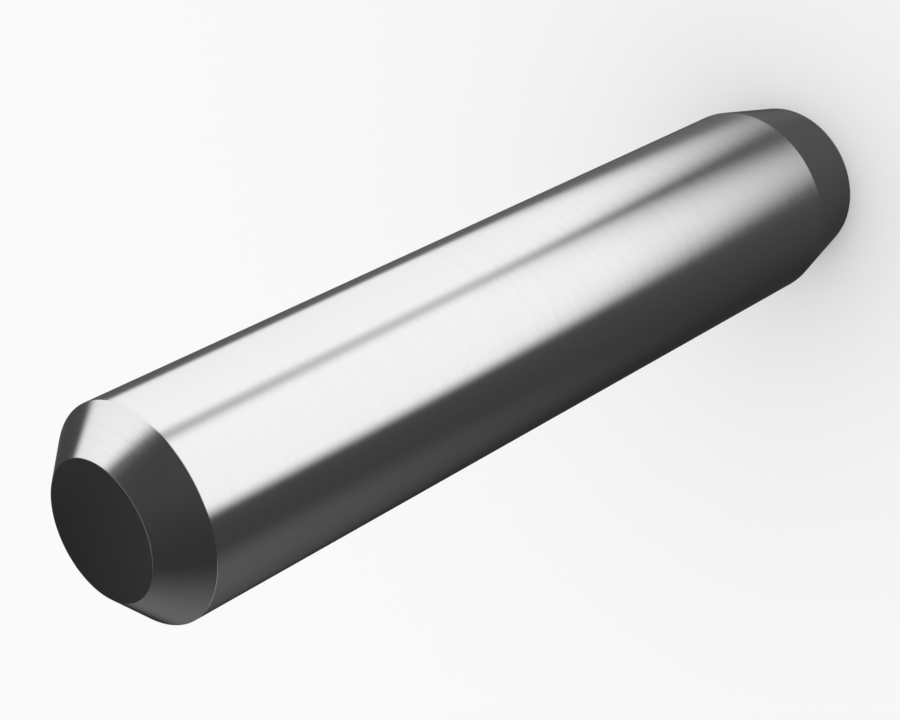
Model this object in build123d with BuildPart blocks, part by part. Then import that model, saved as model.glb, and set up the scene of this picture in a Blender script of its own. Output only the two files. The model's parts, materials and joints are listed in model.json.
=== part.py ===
from build123d import *
import os

# Round steel stud: a plain shank with a short chamfer on one end and a long locking taper on the other.
# It stands on its tapered end: the centre of that face is the origin, and the axis is Z.

# Driving dimensions, in millimetres
overall_length = 48.0
shank_diameter = 10.0
chamfer_width = 1.8  # the same along the axis and across it, so the chamfer is at 45 degrees
taper_length = 4.0
taper_depth = 0.9  # how far the taper comes in from the shank, on the radius
rim_radius = 0.05  # broken edges round both end faces and where the chamfer meets the shank
run_out_radius = 0.5  # where the shallow taper runs out into the shank

# Where the section turns
shank_radius = shank_diameter / 2
tapered_face_radius = shank_radius - taper_depth
chamfered_face_radius = shank_radius - chamfer_width
chamfer_start = overall_length - chamfer_width

with BuildPart() as stud:
    # Half of the section, from the tapered face outwards and up to the chamfered face
    with BuildSketch(Plane.XZ):
        with BuildLine():
            outline = FilletPolyline(
                (0, 0),
                (tapered_face_radius, 0),
                (shank_radius, taper_length),
                (shank_radius, chamfer_start),
                (chamfered_face_radius, overall_length),
                (0, overall_length),
                radius=[rim_radius, run_out_radius, rim_radius, rim_radius],
            )
            Line(outline @ 1, outline @ 0)
        make_face()
    revolve(axis=Axis.Z)

stud.part.label = "stud"

os.makedirs("parts", exist_ok=True)
export_step(stud.part, "parts/stud.step")
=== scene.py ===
"""Dresses a round steel stud and sets it on a pale studio floor.

The stud stands on its tapered foot, with a ground shank and a turned chamfer at the top. Everything
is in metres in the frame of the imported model: the floor is at height zero and the stud's axis is Z.
Directions are given as an azimuth, which is 0 on the camera's side of the stud and grows towards +X,
and an elevation, both in degrees.
"""

import json
import logging
import math
from dataclasses import dataclass
from enum import Enum
from typing import Any

import bmesh
import bpy
from mathutils import Matrix, Vector

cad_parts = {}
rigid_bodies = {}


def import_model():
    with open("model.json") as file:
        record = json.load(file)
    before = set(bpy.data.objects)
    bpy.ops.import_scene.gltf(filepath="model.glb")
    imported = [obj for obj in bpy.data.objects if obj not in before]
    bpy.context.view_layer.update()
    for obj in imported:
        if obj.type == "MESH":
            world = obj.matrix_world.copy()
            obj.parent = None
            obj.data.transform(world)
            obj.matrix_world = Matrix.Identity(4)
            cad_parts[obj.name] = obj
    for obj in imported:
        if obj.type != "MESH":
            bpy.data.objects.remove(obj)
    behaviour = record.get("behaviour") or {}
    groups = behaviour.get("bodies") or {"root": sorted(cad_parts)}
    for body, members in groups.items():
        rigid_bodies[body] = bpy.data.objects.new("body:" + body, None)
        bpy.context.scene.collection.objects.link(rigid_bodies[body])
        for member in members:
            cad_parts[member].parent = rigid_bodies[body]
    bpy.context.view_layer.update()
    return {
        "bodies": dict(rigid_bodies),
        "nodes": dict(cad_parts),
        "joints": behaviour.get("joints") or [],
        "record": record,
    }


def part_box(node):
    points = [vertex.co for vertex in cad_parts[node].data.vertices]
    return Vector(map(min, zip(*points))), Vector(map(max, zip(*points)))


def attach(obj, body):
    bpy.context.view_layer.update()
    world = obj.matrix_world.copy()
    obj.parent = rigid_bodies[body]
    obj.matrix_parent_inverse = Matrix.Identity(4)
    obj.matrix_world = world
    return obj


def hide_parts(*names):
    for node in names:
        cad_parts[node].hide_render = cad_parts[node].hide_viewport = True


MM = 0.001
UM = 0.000001
OUTLINE_ATTRIBUTE = "along_outline"
ROUND_ATTRIBUTE = "round_the_axis"
# The name of the map that unrolls the stud's surface into one sheet
UNROLLED_MAP = "OFBake"
# Nearly all that a noise texture gives lies between these two
NOISE_RANGE = (0.3, 0.7)
# A quarter of a turn, as a share of the whole and in degrees
QUARTER_TURN = 0.25
RIGHT_ANGLE = 90.0

log = logging.getLogger("stud_scene")

# What can go into a node's input
Feed = bpy.types.NodeSocket | float | int | bool | tuple | Vector


def compass(azimuth: float, elevation: float = 0.0) -> Vector:
    """Turns an azimuth and an elevation into a direction.

    Args:
        azimuth: Degrees round the stud from the camera's side, growing towards +X.
        elevation: Degrees above the floor.

    Returns:
        The unit vector from the stud, in the model's frame.
    """
    around, above = math.radians(azimuth), math.radians(elevation)
    return Vector((
        math.sin(around) * math.cos(above),
        -math.cos(around) * math.cos(above),
        math.sin(above),
    ))


def opaque_grey(level: float) -> tuple[float, float, float, float]:
    """Makes the colour of an even grey, from 0 to 1."""
    return (level, level, level, 1.0)


class Seen(Enum):
    """The kinds of ray that may meet a piece of the studio."""

    CAMERA = "visible_camera"
    DIFFUSE = "visible_diffuse"
    GLOSSY = "visible_glossy"
    TRANSMISSION = "visible_transmission"
    VOLUME = "visible_volume_scatter"
    SHADOW = "visible_shadow"


def show_only_to(piece: bpy.types.Object, kinds: set[Seen]) -> None:
    """Lets only some kinds of ray meet a piece.

    Args:
        piece: The object to change.
        kinds: The kinds of ray that still meet it.
    """
    for kind in Seen:
        setattr(piece, kind.value, kind in kinds)


def object_from_mesh(name: str, mesh: bpy.types.Mesh) -> bpy.types.Object:
    """Puts a mesh into the scene at the origin.

    Args:
        name: The new object's name.
        mesh: Its mesh, with its place in its vertices.

    Returns:
        The new object.
    """
    piece = bpy.data.objects.new(name, mesh)
    bpy.context.scene.collection.objects.link(piece)
    return piece


class Wiring:
    """Adds nodes to one tree and joins them, so that a pattern reads as a few lines."""

    def __init__(self, tree: bpy.types.NodeTree) -> None:
        """Starts on a shader or geometry tree."""
        self.tree = tree

    def feed(self, socket: bpy.types.NodeSocket, value: Feed) -> None:
        """Joins a socket to another one, or sets it to a constant.

        Args:
            socket: The input to feed.
            value: An output socket, or a plain value.
        """
        if isinstance(value, bpy.types.NodeSocket):
            self.tree.links.new(value, socket)
        else:
            socket.default_value = value

    def add(self, kind: str, feeds: dict[str | int, Feed] | None = None, **settings: Any) -> bpy.types.Node:
        """Adds one node.

        Args:
            kind: The node's type name.
            feeds: What goes into its inputs, by name or place.
            **settings: The node's own settings.

        Returns:
            The new node.
        """
        node = self.tree.nodes.new(kind)
        for name, value in settings.items():
            setattr(node, name, value)
        for name, value in (feeds or {}).items():
            self.feed(node.inputs[name], value)
        return node

    def maths(self, operation: str, *feeds: Feed) -> bpy.types.NodeSocket:
        """Adds a Math node, and returns its result's socket."""
        return self.add("ShaderNodeMath", dict(enumerate(feeds)), operation=operation).outputs[0]

    def vector_maths(self, operation: str, *feeds: Feed) -> bpy.types.Node:
        """Adds a Vector Math node, and returns it, because its result may be a vector or a number."""
        return self.add("ShaderNodeVectorMath", dict(enumerate(feeds)), operation=operation)

    def combine(self, x: Feed, y: Feed, z: Feed) -> bpy.types.NodeSocket:
        """Makes a vector of three numbers, and returns its socket."""
        return self.add("ShaderNodeCombineXYZ", {"X": x, "Y": y, "Z": z}).outputs["Vector"]

    def weigh(self, first: Feed, first_weight: float,
              second: Feed, second_weight: float) -> bpy.types.NodeSocket:
        """Adds up two numbers by weight.

        Args:
            first: One number.
            first_weight: What it is multiplied by.
            second: The other number.
            second_weight: What that is multiplied by.

        Returns:
            The sum's socket.
        """
        left = self.maths("MULTIPLY", first, first_weight)
        right = self.maths("MULTIPLY", second, second_weight)
        return self.maths("ADD", left, right)

    def remap(self, value: Feed, source: tuple[float, float], target: tuple[float, float],
              smooth: bool = False) -> bpy.types.NodeSocket:
        """Maps one range of numbers onto another and holds it there.

        Args:
            value: The number to map.
            source: The two ends of the range that it comes from.
            target: What the two ends become.
            smooth: Whether the change eases in and out.

        Returns:
            The result's socket.
        """
        ends = {"From Min": source[0], "From Max": source[1], "To Min": target[0], "To Max": target[1]}
        kind = "SMOOTHSTEP" if smooth else "LINEAR"
        ranged = self.add("ShaderNodeMapRange", {"Value": value, **ends}, interpolation_type=kind)
        return ranged.outputs["Result"]

    def between(self, value: Feed, low: float, high: float, fade: float) -> bpy.types.NodeSocket:
        """Picks what lies between two edges, and fades across both.

        Args:
            value: The number to judge.
            low: The lower edge.
            high: The upper edge.
            fade: The width of each fade, which has the edge in its middle.

        Returns:
            The socket of a number that is 1 between the edges and 0 beyond them.
        """
        above = self.remap(value, (low - fade / 2, low + fade / 2), (0.0, 1.0), smooth=True)
        below = self.remap(value, (high + fade / 2, high - fade / 2), (0.0, 1.0), smooth=True)
        return self.maths("MULTIPLY", above, below)

    def noise(self, place: Feed, grain: float, detail: float) -> bpy.types.NodeSocket:
        """Adds a noise texture.

        Args:
            place: The point that it is read at.
            grain: The size of its largest spots, in the units of that point.
            detail: How many finer layers lie on the first.

        Returns:
            The socket of a number from 0 to 1.
        """
        texture = self.add("ShaderNodeTexNoise", {"Vector": place, "Scale": 1 / grain, "Detail": detail})
        return texture.outputs["Fac"]


def new_material(name: str) -> tuple[bpy.types.Material, Wiring, bpy.types.Node]:
    """Makes an empty node material.

    Args:
        name: The material's name.

    Returns:
        The material, the wiring of its tree, and its output node.
    """
    material = bpy.data.materials.new(name)
    material.use_nodes = True
    material.node_tree.nodes.clear()
    wiring = Wiring(material.node_tree)
    return material, wiring, wiring.add("ShaderNodeOutputMaterial")


@dataclass(frozen=True)
class SteelFinish:
    """Bright bare steel with fine tool lines that run round the axis.

    Attributes:
        name: The material's name.
        colour: The steel's grey, from 0 to 1.
        colour_spread: How far the grey strays to each side.
        roughness: The roughness between the tool lines.
        roughness_spread: How far the roughness strays to each side.
        line_pitch: The mean distance between uneven tool lines.
        line_depth: How deep those lines are.
        feed_pitch: The distance between the even grooves, which is the tool's feed.
        feed_depth: How deep those grooves are, from their middle.
        line_drift: How far round the axis a tool line stays the same.
        line_detail: How many finer layers of lines lie on the first.
        line_share: The share of the lines in the shading. Broad patches make up the rest.
        patch_size: The size of those patches.
        patch_detail: How many finer layers of patches lie on the first.
    """

    name: str
    colour: float
    colour_spread: float
    roughness: float
    roughness_spread: float
    line_pitch: float
    line_depth: float
    feed_pitch: float
    feed_depth: float
    line_drift: float = 9.0 * MM
    line_detail: float = 1.0
    line_share: float = 0.6
    patch_size: float = 6.0 * MM
    patch_detail: float = 3.0

    def material(self) -> bpy.types.Material:
        """Builds the finish.

        Returns:
            A metal whose colour, roughness and surface follow the tool lines.
        """
        material, wiring, output = new_material(self.name)
        place = wiring.add("ShaderNodeTexCoord").outputs["Object"]
        along = wiring.add("ShaderNodeAttribute", attribute_name=OUTLINE_ATTRIBUTE).outputs["Fac"]
        lines = self._lines(wiring, place, along)
        patches = wiring.noise(place, self.patch_size, self.patch_detail)
        shade = wiring.weigh(lines, self.line_share, patches, 1 - self.line_share)
        dark, light = self.colour - self.colour_spread, self.colour + self.colour_spread
        grey = wiring.remap(shade, NOISE_RANGE, (dark, light))
        dull, bright = self.roughness + self.roughness_spread, self.roughness - self.roughness_spread
        steel = wiring.add("ShaderNodeBsdfPrincipled", {
            "Base Color": wiring.combine(grey, grey, grey),
            "Metallic": 1.0,
            "Roughness": wiring.remap(shade, NOISE_RANGE, (dull, bright)),
            "Normal": self._relief(wiring, lines, along),
        })
        wiring.feed(output.inputs["Surface"], steel.outputs["BSDF"])
        return material

    def _lines(self, wiring: Wiring, place: Feed, along: Feed) -> bpy.types.NodeSocket:
        """Draws the uneven tool lines.

        Args:
            wiring: The material's wiring.
            place: Object coordinates.
            along: Distance along the stud's outline, in metres.

        Returns:
            A number from 0 to 1 that changes fast along the outline and slowly round the axis.
        """
        split = wiring.add("ShaderNodeSeparateXYZ", {"Vector": place})
        stretched = wiring.combine(
            wiring.maths("DIVIDE", split.outputs["X"], self.line_drift),
            wiring.maths("DIVIDE", split.outputs["Y"], self.line_drift),
            wiring.maths("DIVIDE", along, self.line_pitch),
        )
        return wiring.noise(stretched, 1.0, self.line_detail)

    def _relief(self, wiring: Wiring, lines: Feed, along: Feed) -> bpy.types.NodeSocket:
        """Cuts the tool lines and the feed's even grooves into the surface.

        Args:
            wiring: The material's wiring.
            lines: The uneven tool lines, from 0 to 1.
            along: Distance along the stud's outline, in metres.

        Returns:
            The surface's normal.
        """
        grooves = wiring.maths("SINE", wiring.maths("MULTIPLY", along, math.tau / self.feed_pitch))
        height = wiring.weigh(lines, self.line_depth, grooves, self.feed_depth)
        # The height is in metres already, so the node takes it as it is
        bump = wiring.add("ShaderNodeBump", {"Height": height, "Distance": 1.0, "Strength": 1.0})
        return bump.outputs["Normal"]


GROUND_STEEL = SteelFinish(
    name="ground_steel", colour=0.68, colour_spread=0.005, roughness=0.13, roughness_spread=0.015,
    line_pitch=0.2 * MM, line_depth=0.25 * UM, feed_pitch=0.9 * MM, feed_depth=0.04 * UM,
)
TURNED_STEEL = SteelFinish(
    name="turned_steel", colour=0.68, colour_spread=0.015, roughness=0.13, roughness_spread=0.02,
    line_pitch=0.16 * MM, line_depth=0.4 * UM, feed_pitch=0.2 * MM, feed_depth=0.05 * UM,
)


@dataclass(frozen=True)
class PaleFinish:
    """Plain matt paint for the studio floor.

    Attributes:
        name: The material's name.
        colour: The paint's grey, from 0 to 1.
    """

    name: str = "studio_floor_pale"
    colour: float = 0.92

    def material(self) -> bpy.types.Material:
        """Builds the finish.

        Returns:
            An even matt material.
        """
        material, wiring, output = new_material(self.name)
        matt = wiring.add("ShaderNodeBsdfDiffuse", {"Color": opaque_grey(self.colour)})
        wiring.feed(output.inputs["Surface"], matt.outputs["BSDF"])
        return material


@dataclass(frozen=True)
class TreeInput:
    """A named input of a Geometry Nodes tree.

    Attributes:
        kind: Its socket's type.
        value: What it is set to.
    """

    kind: str
    value: float | int | bpy.types.Material


@dataclass
class TurnedStud:
    """The stud, which is one solid of revolution, swept from half of its section.

    Attributes:
        shank_radius: The radius of the plain shank.
        overall_length: The length from the tapered face to the chamfered one.
        chamfer_width: How far the chamfer comes in, along the axis and across it.
        taper_length: How much of the length the locking taper takes.
        taper_depth: How far the taper comes in from the shank.
        rim_radius: The radius of the broken edges.
        run_out_radius: The radius where the taper runs out into the shank.
        faces_round: How many faces the sweep has round the axis.
        rim_steps: How many points round off each corner of the section.
        weld_gap: How near two points lie that become one, at the poles and the seam.
        shank_rise: The most that the normal of one of the shank's faces rises.
        shank_finish: The finish of the shank.
        end_finish: The finish of the taper, the chamfer and both faces.
        node: The CAD node that the stud stands for.
        body: The body that it rides on.
        slot: The record's material slot for its finish. It is not used.
        name: The name of the finished piece.
    """

    shank_radius: float
    overall_length: float
    chamfer_width: float = 1.8 * MM
    taper_length: float = 4.0 * MM
    taper_depth: float = 0.9 * MM
    rim_radius: float = 0.05 * MM
    run_out_radius: float = 0.5 * MM
    faces_round: int = 192
    rim_steps: int = 6
    weld_gap: float = 1.0 * UM
    shank_rise: float = 0.01
    shank_finish: SteelFinish = GROUND_STEEL
    end_finish: SteelFinish = TURNED_STEEL
    node: str = "stud"
    body: str = "root"
    slot: str = "steel"
    name: str = "stud_turned"

    @classmethod
    def from_frame(cls, frame: dict[str, Any]) -> "TurnedStud":
        """Takes the stud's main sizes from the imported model.


        Returns:
            A stud as long and as thick as the CAD one.
        """
        low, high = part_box(cls.node)
        shank = next(mount for mount in frame["record"]["mounts"] if mount["name"] == "shank")
        return cls(shank_radius=shank["dims"]["r_mm"] * MM, overall_length=high.z - low.z)

    def build(self) -> bpy.types.Object:
        """Sweeps the stud, dresses it and hangs it on its body.

        Returns:
            The finished piece, which stands for the CAD node.
        """
        piece = object_from_mesh(self.name, self._swept_mesh())
        self._dress(piece)
        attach(piece, self.body)
        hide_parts(self.node)
        return piece

    def _dress(self, piece: bpy.types.Object) -> None:
        """Steadies the shading of the large faces.

        Args:
            piece: The swept piece.
        """
        # The large faces keep their own normals, so the rims don't bend the light on the shank
        piece.modifiers.new("true_faces", "WEIGHTED_NORMAL")

    def _swept_mesh(self) -> bpy.types.Mesh:
        """Runs the lathe tree once.

        Returns:
            The plain mesh that it makes.
        """
        inputs = self._inputs()
        holder = object_from_mesh("stud_holder", bpy.data.meshes.new("stud_holder"))
        lathe = holder.modifiers.new("lathe", "NODES")
        lathe.node_group = self._lathe_tree(inputs)
        for item in lathe.node_group.interface.items_tree:
            if item.in_out == "INPUT":
                lathe[item.identifier] = inputs[item.name].value
        evaluated = holder.evaluated_get(bpy.context.evaluated_depsgraph_get())
        mesh = bpy.data.meshes.new_from_object(evaluated)
        mesh.name = self.name
        bpy.data.objects.remove(holder)
        return mesh

    def _inputs(self) -> dict[str, TreeInput]:
        """Makes the two finishes and lists what goes into the lathe tree.

        Returns:
            The tree's inputs, by name.
        """
        length, count, finish = "NodeSocketFloat", "NodeSocketInt", "NodeSocketMaterial"
        return {
            "Shank Radius": TreeInput(length, self.shank_radius),
            "Overall Length": TreeInput(length, self.overall_length),
            "Chamfer Width": TreeInput(length, self.chamfer_width),
            "Taper Length": TreeInput(length, self.taper_length),
            "Taper Depth": TreeInput(length, self.taper_depth),
            "Rim Radius": TreeInput(length, self.rim_radius),
            "Run-out Radius": TreeInput(length, self.run_out_radius),
            "Weld Gap": TreeInput(length, self.weld_gap),
            "Faces Round": TreeInput(count, self.faces_round),
            "Rim Steps": TreeInput(count, self.rim_steps),
            "Shank Finish": TreeInput(finish, self.shank_finish.material()),
            "End Finish": TreeInput(finish, self.end_finish.material()),
        }

    def _lathe_tree(self, inputs: dict[str, TreeInput]) -> bpy.types.NodeTree:
        """Builds the Geometry Nodes tree that sweeps half of the section round the axis.

        Args:
            inputs: The tree's inputs, by name.

        Returns:
            The tree, with a named input for each size and finish.
        """
        tree = bpy.data.node_groups.new("stud_lathe", "GeometryNodeTree")
        tree.interface.new_socket("Geometry", in_out="OUTPUT", socket_type="NodeSocketGeometry")
        for name, wanted in inputs.items():
            tree.interface.new_socket(name, in_out="INPUT", socket_type=wanted.kind)
        wiring = Wiring(tree)
        given = wiring.add("NodeGroupInput").outputs
        swept = self._sweep(wiring, given, self._outline(wiring, given))
        mapped = self._unroll(wiring, swept)
        welded = wiring.add("GeometryNodeMergeByDistance", {
            "Geometry": mapped, "Distance": given["Weld Gap"],
        })
        outwards = wiring.add("GeometryNodeFlipFaces", {"Mesh": welded.outputs["Geometry"]})
        smooth = wiring.add("GeometryNodeSetShadeSmooth", {"Geometry": outwards.outputs["Mesh"]})
        real = wiring.add("GeometryNodeRealizeInstances", {"Geometry": smooth.outputs["Geometry"]})
        ends = wiring.add("GeometryNodeSetMaterial", {
            "Geometry": real.outputs["Geometry"], "Material": given["End Finish"],
        })
        shank = wiring.add("GeometryNodeSetMaterial", {
            "Geometry": ends.outputs["Geometry"], "Selection": self._on_the_shank(wiring),
            "Material": given["Shank Finish"],
        })
        wiring.add("NodeGroupOutput", {"Geometry": shank.outputs["Geometry"]})
        return tree

    @staticmethod
    def _outline(wiring: Wiring, given: bpy.types.NodeOutputs) -> bpy.types.NodeSocket:
        """Draws half of the section as one open line, from the foot's centre outwards and up to the top's.

        Args:
            wiring: The tree's wiring.
            given: The tree's named inputs.

        Returns:
            The outline's curve, with each point's distance along it.
        """
        radius, length = given["Shank Radius"], given["Overall Length"]
        foot_radius = wiring.maths("SUBTRACT", radius, given["Taper Depth"])
        top_radius = wiring.maths("SUBTRACT", radius, given["Chamfer Width"])
        chamfer_start = wiring.maths("SUBTRACT", length, given["Chamfer Width"])
        # Distance from the axis, height, and the radius that the corner is rounded to
        corners = (
            (0.0, 0.0, 0.0),
            (foot_radius, 0.0, given["Rim Radius"]),
            (radius, given["Taper Length"], given["Run-out Radius"]),
            (radius, chamfer_start, given["Rim Radius"]),
            (top_radius, length, given["Rim Radius"]),
            (0.0, length, 0.0),
        )
        index = wiring.add("GeometryNodeInputIndex").outputs["Index"]
        places = wiring.add("GeometryNodeIndexSwitch", {"Index": index}, data_type="VECTOR")
        rounding = wiring.add("GeometryNodeIndexSwitch", {"Index": index}, data_type="FLOAT")
        for switch in (places, rounding):
            while len(switch.index_switch_items) < len(corners):
                switch.index_switch_items.new()
        for item, (out, height, rounded) in enumerate(corners, start=1):
            # The path already runs at the shank's radius, and the sweep turns the outline's Y downwards
            from_shank = wiring.maths("SUBTRACT", out, radius)
            downwards = wiring.maths("MULTIPLY", height, -1.0)
            wiring.feed(places.inputs[item], wiring.combine(from_shank, downwards, 0.0))
            wiring.feed(rounding.inputs[item], rounded)

        line = wiring.add("GeometryNodeCurvePrimitiveLine").outputs["Curve"]
        points = wiring.add("GeometryNodeResampleCurve", {"Curve": line, "Count": len(corners)})
        placed = wiring.add("GeometryNodeSetPosition", {
            "Geometry": points.outputs["Curve"], "Position": places.outputs[0],
        })
        broken = wiring.add("GeometryNodeFilletCurve", {
            "Curve": placed.outputs["Geometry"], "Radius": rounding.outputs[0], "Count": given["Rim Steps"],
        }, mode="POLY")
        distance = wiring.add("GeometryNodeSplineParameter").outputs["Length"]
        stored = wiring.add("GeometryNodeStoreNamedAttribute", {
            "Geometry": broken.outputs["Curve"], "Name": OUTLINE_ATTRIBUTE, "Value": distance,
        }, data_type="FLOAT", domain="POINT")
        return stored.outputs["Geometry"]

    @staticmethod
    def _sweep(wiring: Wiring, given: bpy.types.NodeOutputs, outline: Feed) -> bpy.types.NodeSocket:
        """Sweeps the outline round the axis.

        Args:
            wiring: The tree's wiring.
            given: The tree's named inputs.
            outline: The outline's curve.

        Returns:
            The swept mesh, with each point's share of a turn, and with its poles still open.
        """
        path = wiring.add("GeometryNodeCurvePrimitiveCircle", {
            "Resolution": given["Faces Round"], "Radius": given["Shank Radius"],
        })
        turn = wiring.add("GeometryNodeSplineParameter").outputs["Factor"]
        stored = wiring.add("GeometryNodeStoreNamedAttribute", {
            "Geometry": path.outputs["Curve"], "Name": ROUND_ATTRIBUTE, "Value": turn,
        }, data_type="FLOAT", domain="POINT")
        swept = wiring.add("GeometryNodeCurveToMesh", {
            "Curve": stored.outputs["Geometry"], "Profile Curve": outline,
        })
        return swept.outputs["Mesh"]

    @staticmethod
    def _unroll(wiring: Wiring, surface: Feed) -> bpy.types.NodeSocket:
        """Gives the swept surface a map that unrolls it into one sheet, with each tool line along a row.

        Args:
            wiring: The tree's wiring.
            surface: The swept mesh.

        Returns:
            The mesh with the map.
        """
        readers = (
            wiring.add("GeometryNodeInputNamedAttribute", {"Name": name}, data_type="FLOAT")
            for name in (ROUND_ATTRIBUTE, OUTLINE_ATTRIBUTE)
        )
        turn, along = (reader.outputs["Attribute"] for reader in readers)
        # Across the seam a face's middle is far ahead of its near corners, so those go one turn on
        middle = wiring.add("GeometryNodeFieldOnDomain", {"Value": turn}, data_type="FLOAT", domain="FACE")
        behind = wiring.maths("SUBTRACT", middle.outputs["Value"], turn)
        unrolled = wiring.maths("ADD", turn, wiring.maths("GREATER_THAN", behind, QUARTER_TURN))
        longest = wiring.add("GeometryNodeAttributeStatistic", {"Geometry": surface, "Attribute": along})
        height = wiring.maths("DIVIDE", along, longest.outputs["Max"])
        stored = wiring.add("GeometryNodeStoreNamedAttribute", {
            "Geometry": surface, "Name": UNROLLED_MAP, "Value": wiring.combine(unrolled, height, 0.0),
        }, data_type="FLOAT2", domain="CORNER")
        return stored.outputs["Geometry"]

    def _on_the_shank(self, wiring: Wiring) -> bpy.types.NodeSocket:
        """Picks the faces that point straight out from the axis.

        Args:
            wiring: The tree's wiring.

        Returns:
            A yes or no for each face.
        """
        normal = wiring.add("GeometryNodeInputNormal").outputs["Normal"]
        rise = wiring.add("ShaderNodeSeparateXYZ", {"Vector": normal}).outputs["Z"]
        return wiring.maths("LESS_THAN", wiring.maths("ABSOLUTE", rise), self.shank_rise)


@dataclass(frozen=True)
class Softbox:
    """A flat lit panel with fading edges, which only the metal's reflections show.

    Its edges are measured from the point where it squarely faces the stud, as shares of its distance.

    Attributes:
        name: The name of the panel and of its material.
        facing: The azimuth that it hangs at.
        tilt: The elevation that it hangs at.
        left: Its edge towards smaller azimuths.
        right: Its edge towards larger azimuths.
        bottom: Its lower edge.
        top: Its upper edge.
        brightness: Its light, where 1 is white.
        side_fade: The width over which its left and right edges fade.
        end_fade: The width over which its lower and upper edges fade.
        droop: How far its lower and upper edges sag at one distance out to either side.
        dimming: How much light it has lost at one distance out to the right.
        net_share: The share of its light that a net in front of it holds back.
        net_bottom: The net's lower edge.
        net_top: The net's upper edge.
        net_fade: The width over which the net's edges fade.
        distance: How far from the stud it hangs.
    """

    name: str
    facing: float
    tilt: float
    left: float
    right: float
    bottom: float
    top: float
    brightness: float
    side_fade: float
    end_fade: float
    droop: float = 0.0
    dimming: float = 0.0
    net_share: float = 0.0
    net_bottom: float = 0.0
    net_top: float = 0.0
    net_fade: float = 0.2
    distance: float = 1.5

    def build(self, height: float) -> bpy.types.Object:
        """Hangs the panel.

        Args:
            height: The height on the stud's axis that it hangs round.

        Returns:
            The panel's object.
        """
        outwards = compass(self.facing, self.tilt)
        sideways = compass(self.facing + RIGHT_ANGLE)
        upwards = outwards.cross(sideways)
        middle = outwards * self.distance + Vector((0, 0, height))
        left, right = self.left - self.side_fade / 2, self.right + self.side_fade / 2
        # The lower edge sags most at the side that is farther out, so the mesh reaches down to there
        lowest = self.bottom - self.end_fade / 2 - self.droop * max(-left, right) ** 2
        highest = self.top + self.end_fade / 2
        corners = [
            middle + (sideways * across + upwards * up) * self.distance
            for across, up in ((left, lowest), (right, lowest), (right, highest), (left, highest))
        ]
        mesh = bpy.data.meshes.new(self.name)
        mesh.from_pydata(corners, [], [(0, 1, 2, 3)])
        mesh.materials.append(self._material(middle, sideways, upwards))
        panel = object_from_mesh(self.name, mesh)
        show_only_to(panel, {Seen.GLOSSY})
        return panel

    def _material(self, middle: Vector, sideways: Vector, upwards: Vector) -> bpy.types.Material:
        """Builds the panel's light.

        Args:
            middle: The point of the panel that its edges are measured from.
            sideways: The unit vector along the panel's width.
            upwards: The unit vector along its height.

        Returns:
            A glow that fades at all four edges, over whatever lies behind.
        """
        material, wiring, output = new_material(self.name)
        place = wiring.add("ShaderNodeTexCoord").outputs["Object"]
        offset = wiring.vector_maths("SUBTRACT", place, tuple(middle)).outputs["Vector"]
        across, level = (
            wiring.vector_maths("DOT_PRODUCT", offset, tuple(axis / self.distance)).outputs["Value"]
            for axis in (sideways, upwards)
        )
        # A point far out to either side counts as higher up, so that both edges sag there
        up = wiring.weigh(wiring.maths("MULTIPLY", across, across), self.droop, level, 1.0)
        glow = wiring.maths("SUBTRACT", self.brightness, wiring.maths("MULTIPLY", across, self.dimming))
        for value, low, high, fade in (
            (across, self.left, self.right, self.side_fade),
            (up, self.bottom, self.top, self.end_fade),
        ):
            glow = wiring.maths("MULTIPLY", glow, wiring.between(value, low, high, fade))
        if self.net_share:
            netted = wiring.between(level, self.net_bottom, self.net_top, self.net_fade)
            through = wiring.maths("SUBTRACT", 1.0, wiring.maths("MULTIPLY", netted, self.net_share))
            glow = wiring.maths("MULTIPLY", glow, through)
        light = wiring.add("ShaderNodeEmission", {"Strength": glow}).outputs["Emission"]
        behind = wiring.add("ShaderNodeBsdfTransparent").outputs["BSDF"]
        both = wiring.add("ShaderNodeAddShader", {0: behind, 1: light}).outputs["Shader"]
        wiring.feed(output.inputs["Surface"], both)
        # Only reflections show it, so no rays are aimed at it
        material.cycles.emission_sampling = "NONE"
        return material


@dataclass(frozen=True)
class Glow:
    """A broad soft patch of light or shade on the dark room's wall.

    Attributes:
        azimuth: The azimuth of its middle.
        elevation: The elevation of its middle.
        brightness: The light that it adds, or takes away where it is negative.
        inner: The angle from its middle within which it is even, in degrees.
        outer: The angle from its middle at which it ends, in degrees.
    """

    azimuth: float
    elevation: float
    brightness: float
    inner: float
    outer: float


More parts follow.
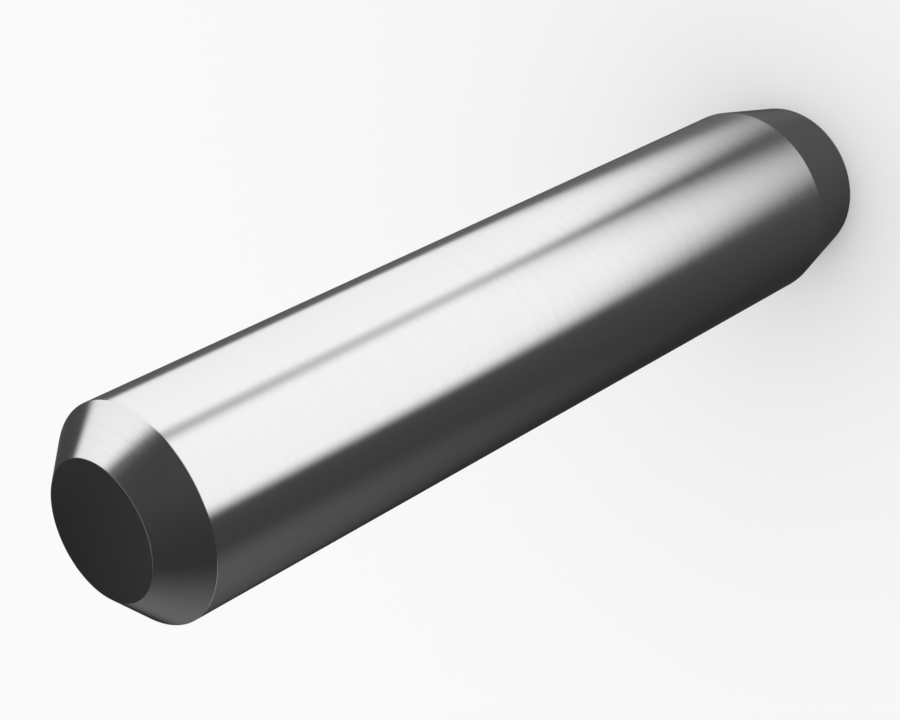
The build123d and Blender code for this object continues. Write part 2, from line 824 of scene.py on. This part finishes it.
@dataclass(frozen=True)
class DarkRoom:
    """The dark walls behind the softboxes, which only the metal's reflections show.

    Attributes:
        brightness: The walls' own light, where 1 is white.
        radius: How far off they are.
        fineness: How often the faces of the ball that they form are divided.
        glows: The patches of light and shade on them.
        name: The name of the walls and of their material.
    """

    brightness: float = 0.186
    radius: float = 3.0
    fineness: int = 4
    glows: tuple[Glow, ...] = (
        Glow(azimuth=114, elevation=-1, brightness=0.06, inner=58, outer=68),
        Glow(azimuth=-139, elevation=-27, brightness=-0.163, inner=0, outer=150),
        Glow(azimuth=155, elevation=9, brightness=-0.096, inner=0, outer=61),
        Glow(azimuth=9, elevation=42, brightness=-0.117, inner=22, outer=133),
    )
    name: str = "studio_dark_room"

    def build(self) -> bpy.types.Object:
        """Builds the walls as one closed ball that looks inwards.

        Returns:
            The room's object.
        """
        shape = bmesh.new()
        bmesh.ops.create_icosphere(shape, subdivisions=self.fineness, radius=self.radius)
        bmesh.ops.reverse_faces(shape, faces=shape.faces)
        mesh = bpy.data.meshes.new(self.name)
        shape.to_mesh(mesh)
        shape.free()
        mesh.materials.append(self._material())
        room = object_from_mesh(self.name, mesh)
        show_only_to(room, {Seen.GLOSSY})
        return room

    def _material(self) -> bpy.types.Material:
        """Builds the walls' faint light.

        Returns:
            An even glow with the patches added to it.
        """
        material, wiring, output = new_material(self.name)
        place = wiring.add("ShaderNodeTexCoord").outputs["Object"]
        direction = wiring.vector_maths("NORMALIZE", place).outputs["Vector"]
        light: Feed = self.brightness
        for glow in self.glows:
            towards = tuple(compass(glow.azimuth, glow.elevation))
            nearness = wiring.vector_maths("DOT_PRODUCT", direction, towards).outputs["Value"]
            angle = wiring.maths("DEGREES", wiring.maths("ARCCOSINE", nearness))
            added = wiring.remap(angle, (glow.inner, glow.outer), (glow.brightness, 0.0), smooth=True)
            light = wiring.maths("ADD", light, added)
        glowing = wiring.add("ShaderNodeEmission", {"Strength": wiring.maths("MAXIMUM", light, 0.0)})
        wiring.feed(output.inputs["Surface"], glowing.outputs["Emission"])
        # Only reflections show it, so no rays are aimed at it
        material.cycles.emission_sampling = "NONE"
        return material


@dataclass(frozen=True)
class SoftLamp:
    """A far lamp behind a wide diffuser, which lights the floor evenly.

    Attributes:
        name: The lamp's name.
        azimuth: The azimuth that it shines from.
        elevation: The elevation that it shines from.
        power: Its light on a surface that faces it, in watts for each square metre.
        width: How wide it looks from the stud, in degrees.
    """

    name: str
    azimuth: float
    elevation: float
    power: float
    width: float

    def build(self) -> bpy.types.Object:
        """Hangs the lamp.

        Returns:
            The lamp's object, which the metal doesn't mirror.
        """
        lamp = bpy.data.lights.new(self.name, "SUN")
        lamp.energy = self.power
        lamp.angle = math.radians(self.width)
        hung = bpy.data.objects.new(self.name, lamp)
        hung.rotation_euler = (-compass(self.azimuth, self.elevation)).to_track_quat("-Z", "Y").to_euler()
        hung.visible_glossy = False
        bpy.context.scene.collection.objects.link(hung)
        return hung


@dataclass(frozen=True)
class Studio:
    """The pale floor, the light on it and what the metal reflects.

    Attributes:
        mid_height: The height that the softboxes hang round.
        floor_radius: The radius of the round floor.
        floor_faces: How many sides it has.
        floor_finish: Its paint.
        daylight: The even light from all round, where 1 is white.
        lamps: The lamps that light the floor.
        softboxes: The panels that the metal mirrors.
        room: The walls that it mirrors behind them.
    """

    mid_height: float
    floor_radius: float = 2.4
    floor_faces: int = 128
    floor_finish: PaleFinish = PaleFinish()
    daylight: float = 0.95
    lamps: tuple[SoftLamp, ...] = (
        SoftLamp(name="key_lamp", azimuth=20, elevation=60, power=0.25, width=50),
        SoftLamp(name="fill_lamp", azimuth=-60, elevation=50, power=0.10, width=70),
    )
    softboxes: tuple[Softbox, ...] = (
        Softbox(
            name="softbox_front", facing=11.5, tilt=-13.5, left=-0.8, right=0.695, bottom=-0.755, top=1.5,
            brightness=1.2, side_fade=0.4, end_fade=0.3, droop=0.12,
            net_share=0.3, net_bottom=-0.14, net_top=2.0,
        ),
        Softbox(
            name="softbox_side", facing=90, tilt=0, left=-0.655, right=0.985, bottom=-1.15, top=0.93,
            brightness=1.08, side_fade=0.36, end_fade=0.29, droop=0.12, dimming=0.095,
            net_share=0.3, net_bottom=-0.4, net_top=0.05,
        ),
        Softbox(
            name="grey_card", facing=-111, tilt=0, left=-1.265, right=0.71, bottom=-0.73, top=0.425,
            brightness=0.128, side_fade=0.91, end_fade=0.87,
        ),
        Softbox(
            name="softbox_back", facing=-100, tilt=-9, left=-0.5, right=0.5, bottom=-0.14, top=0.2,
            brightness=0.35, side_fade=0.16, end_fade=0.16,
        ),
        Softbox(
            name="softbox_above", facing=0, tilt=90, left=-0.6, right=0.6, bottom=-0.25, top=0.7,
            brightness=0.2, side_fade=0.16, end_fade=0.16,
        ),
    )
    room: DarkRoom = DarkRoom()

    def build(self) -> list[bpy.types.Object]:
        """Sets up the floor, the lamps, the softboxes and the dark room.

        Returns:
            Every piece that belongs to the studio and not to the stud.
        """
        floor = self._floor()
        mirrored = [softbox.build(self.mid_height) for softbox in self.softboxes]
        mirrored.append(self.room.build())
        lamps = [lamp.build() for lamp in self.lamps]
        self._let_daylight_in()
        return [floor, *mirrored, *lamps]

    def _floor(self) -> bpy.types.Object:
        """Builds the floor.

        Returns:
            The floor's object, which the metal doesn't mirror.
        """
        shape = bmesh.new()
        bmesh.ops.create_circle(shape, cap_ends=True, segments=self.floor_faces, radius=self.floor_radius)
        mesh = bpy.data.meshes.new("studio_floor")
        shape.to_mesh(mesh)
        shape.free()
        mesh.materials.append(self.floor_finish.material())
        floor = object_from_mesh("studio_floor", mesh)
        show_only_to(floor, set(Seen) - {Seen.GLOSSY})
        return floor

    def _let_daylight_in(self) -> None:
        """Fills the studio with even pale light that the metal doesn't mirror."""
        world = bpy.data.worlds.new("studio_daylight")
        world.use_nodes = True
        background = world.node_tree.nodes["Background"]
        background.inputs["Color"].default_value = opaque_grey(1.0)
        background.inputs["Strength"].default_value = self.daylight
        world.cycles_visibility.glossy = False
        bpy.context.scene.world = world


@dataclass(frozen=True)
class PhotographCamera:
    """The camera at the photograph's viewing angle, turned about its own line of sight as it was there.

    Attributes:
        aim: The point that it looks at.
        distance: How far from that point it stands.
        elevation: How high it stands, in degrees.
        roll: Its turn about its line of sight, in degrees.
        lens: Its focal length, in millimetres.
        sensor_width: The width of its sensor, in millimetres.
        nearest: The distance at which its view starts.
        farthest: The distance at which its view ends.
    """

    aim: tuple[float, float, float] = (-0.29 * MM, 0.0, 27.39 * MM)
    distance: float = 100.7 * MM
    elevation: float = 40.4
    roll: float = -117.2
    lens: float = 86.6
    sensor_width: float = 36.0
    nearest: float = 5.0 * MM
    farthest: float = 10.0

    def build(self) -> bpy.types.Object:
        """Sets the camera up and makes it the scene's own.

        Returns:
            The camera's object.
        """
        data = bpy.data.cameras.new("photograph_camera")
        data.lens = self.lens
        data.sensor_width = self.sensor_width
        data.clip_start = self.nearest
        data.clip_end = self.farthest
        camera = bpy.data.objects.new("photograph_camera", data)
        back = compass(0.0, self.elevation)
        level = (-back).to_track_quat("-Z", "Y").to_matrix()
        turned = level @ Matrix.Rotation(math.radians(self.roll), 3, "Z")
        camera.matrix_world = Matrix.Translation(Vector(self.aim) + back * self.distance) @ turned.to_4x4()
        bpy.context.scene.collection.objects.link(camera)
        bpy.context.scene.camera = camera
        return camera


def main() -> None:
    """Loads the frame, dresses the stud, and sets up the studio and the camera."""
    logging.basicConfig(level=logging.INFO, format="%(name)s: %(message)s")
    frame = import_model()
    bpy.context.scene.view_settings.view_transform = "Standard"

    stud = TurnedStud.from_frame(frame)
    piece = stud.build()
    log.info("%s: %d faces, %.1f mm long", piece.name, len(piece.data.polygons), stud.overall_length / MM)
    for made in Studio(mid_height=stud.overall_length / 2).build():
        log.info("studio: %s", made.name)
    log.info("camera: %s", PhotographCamera().build().name)


if __name__ == "__main__":
    main()
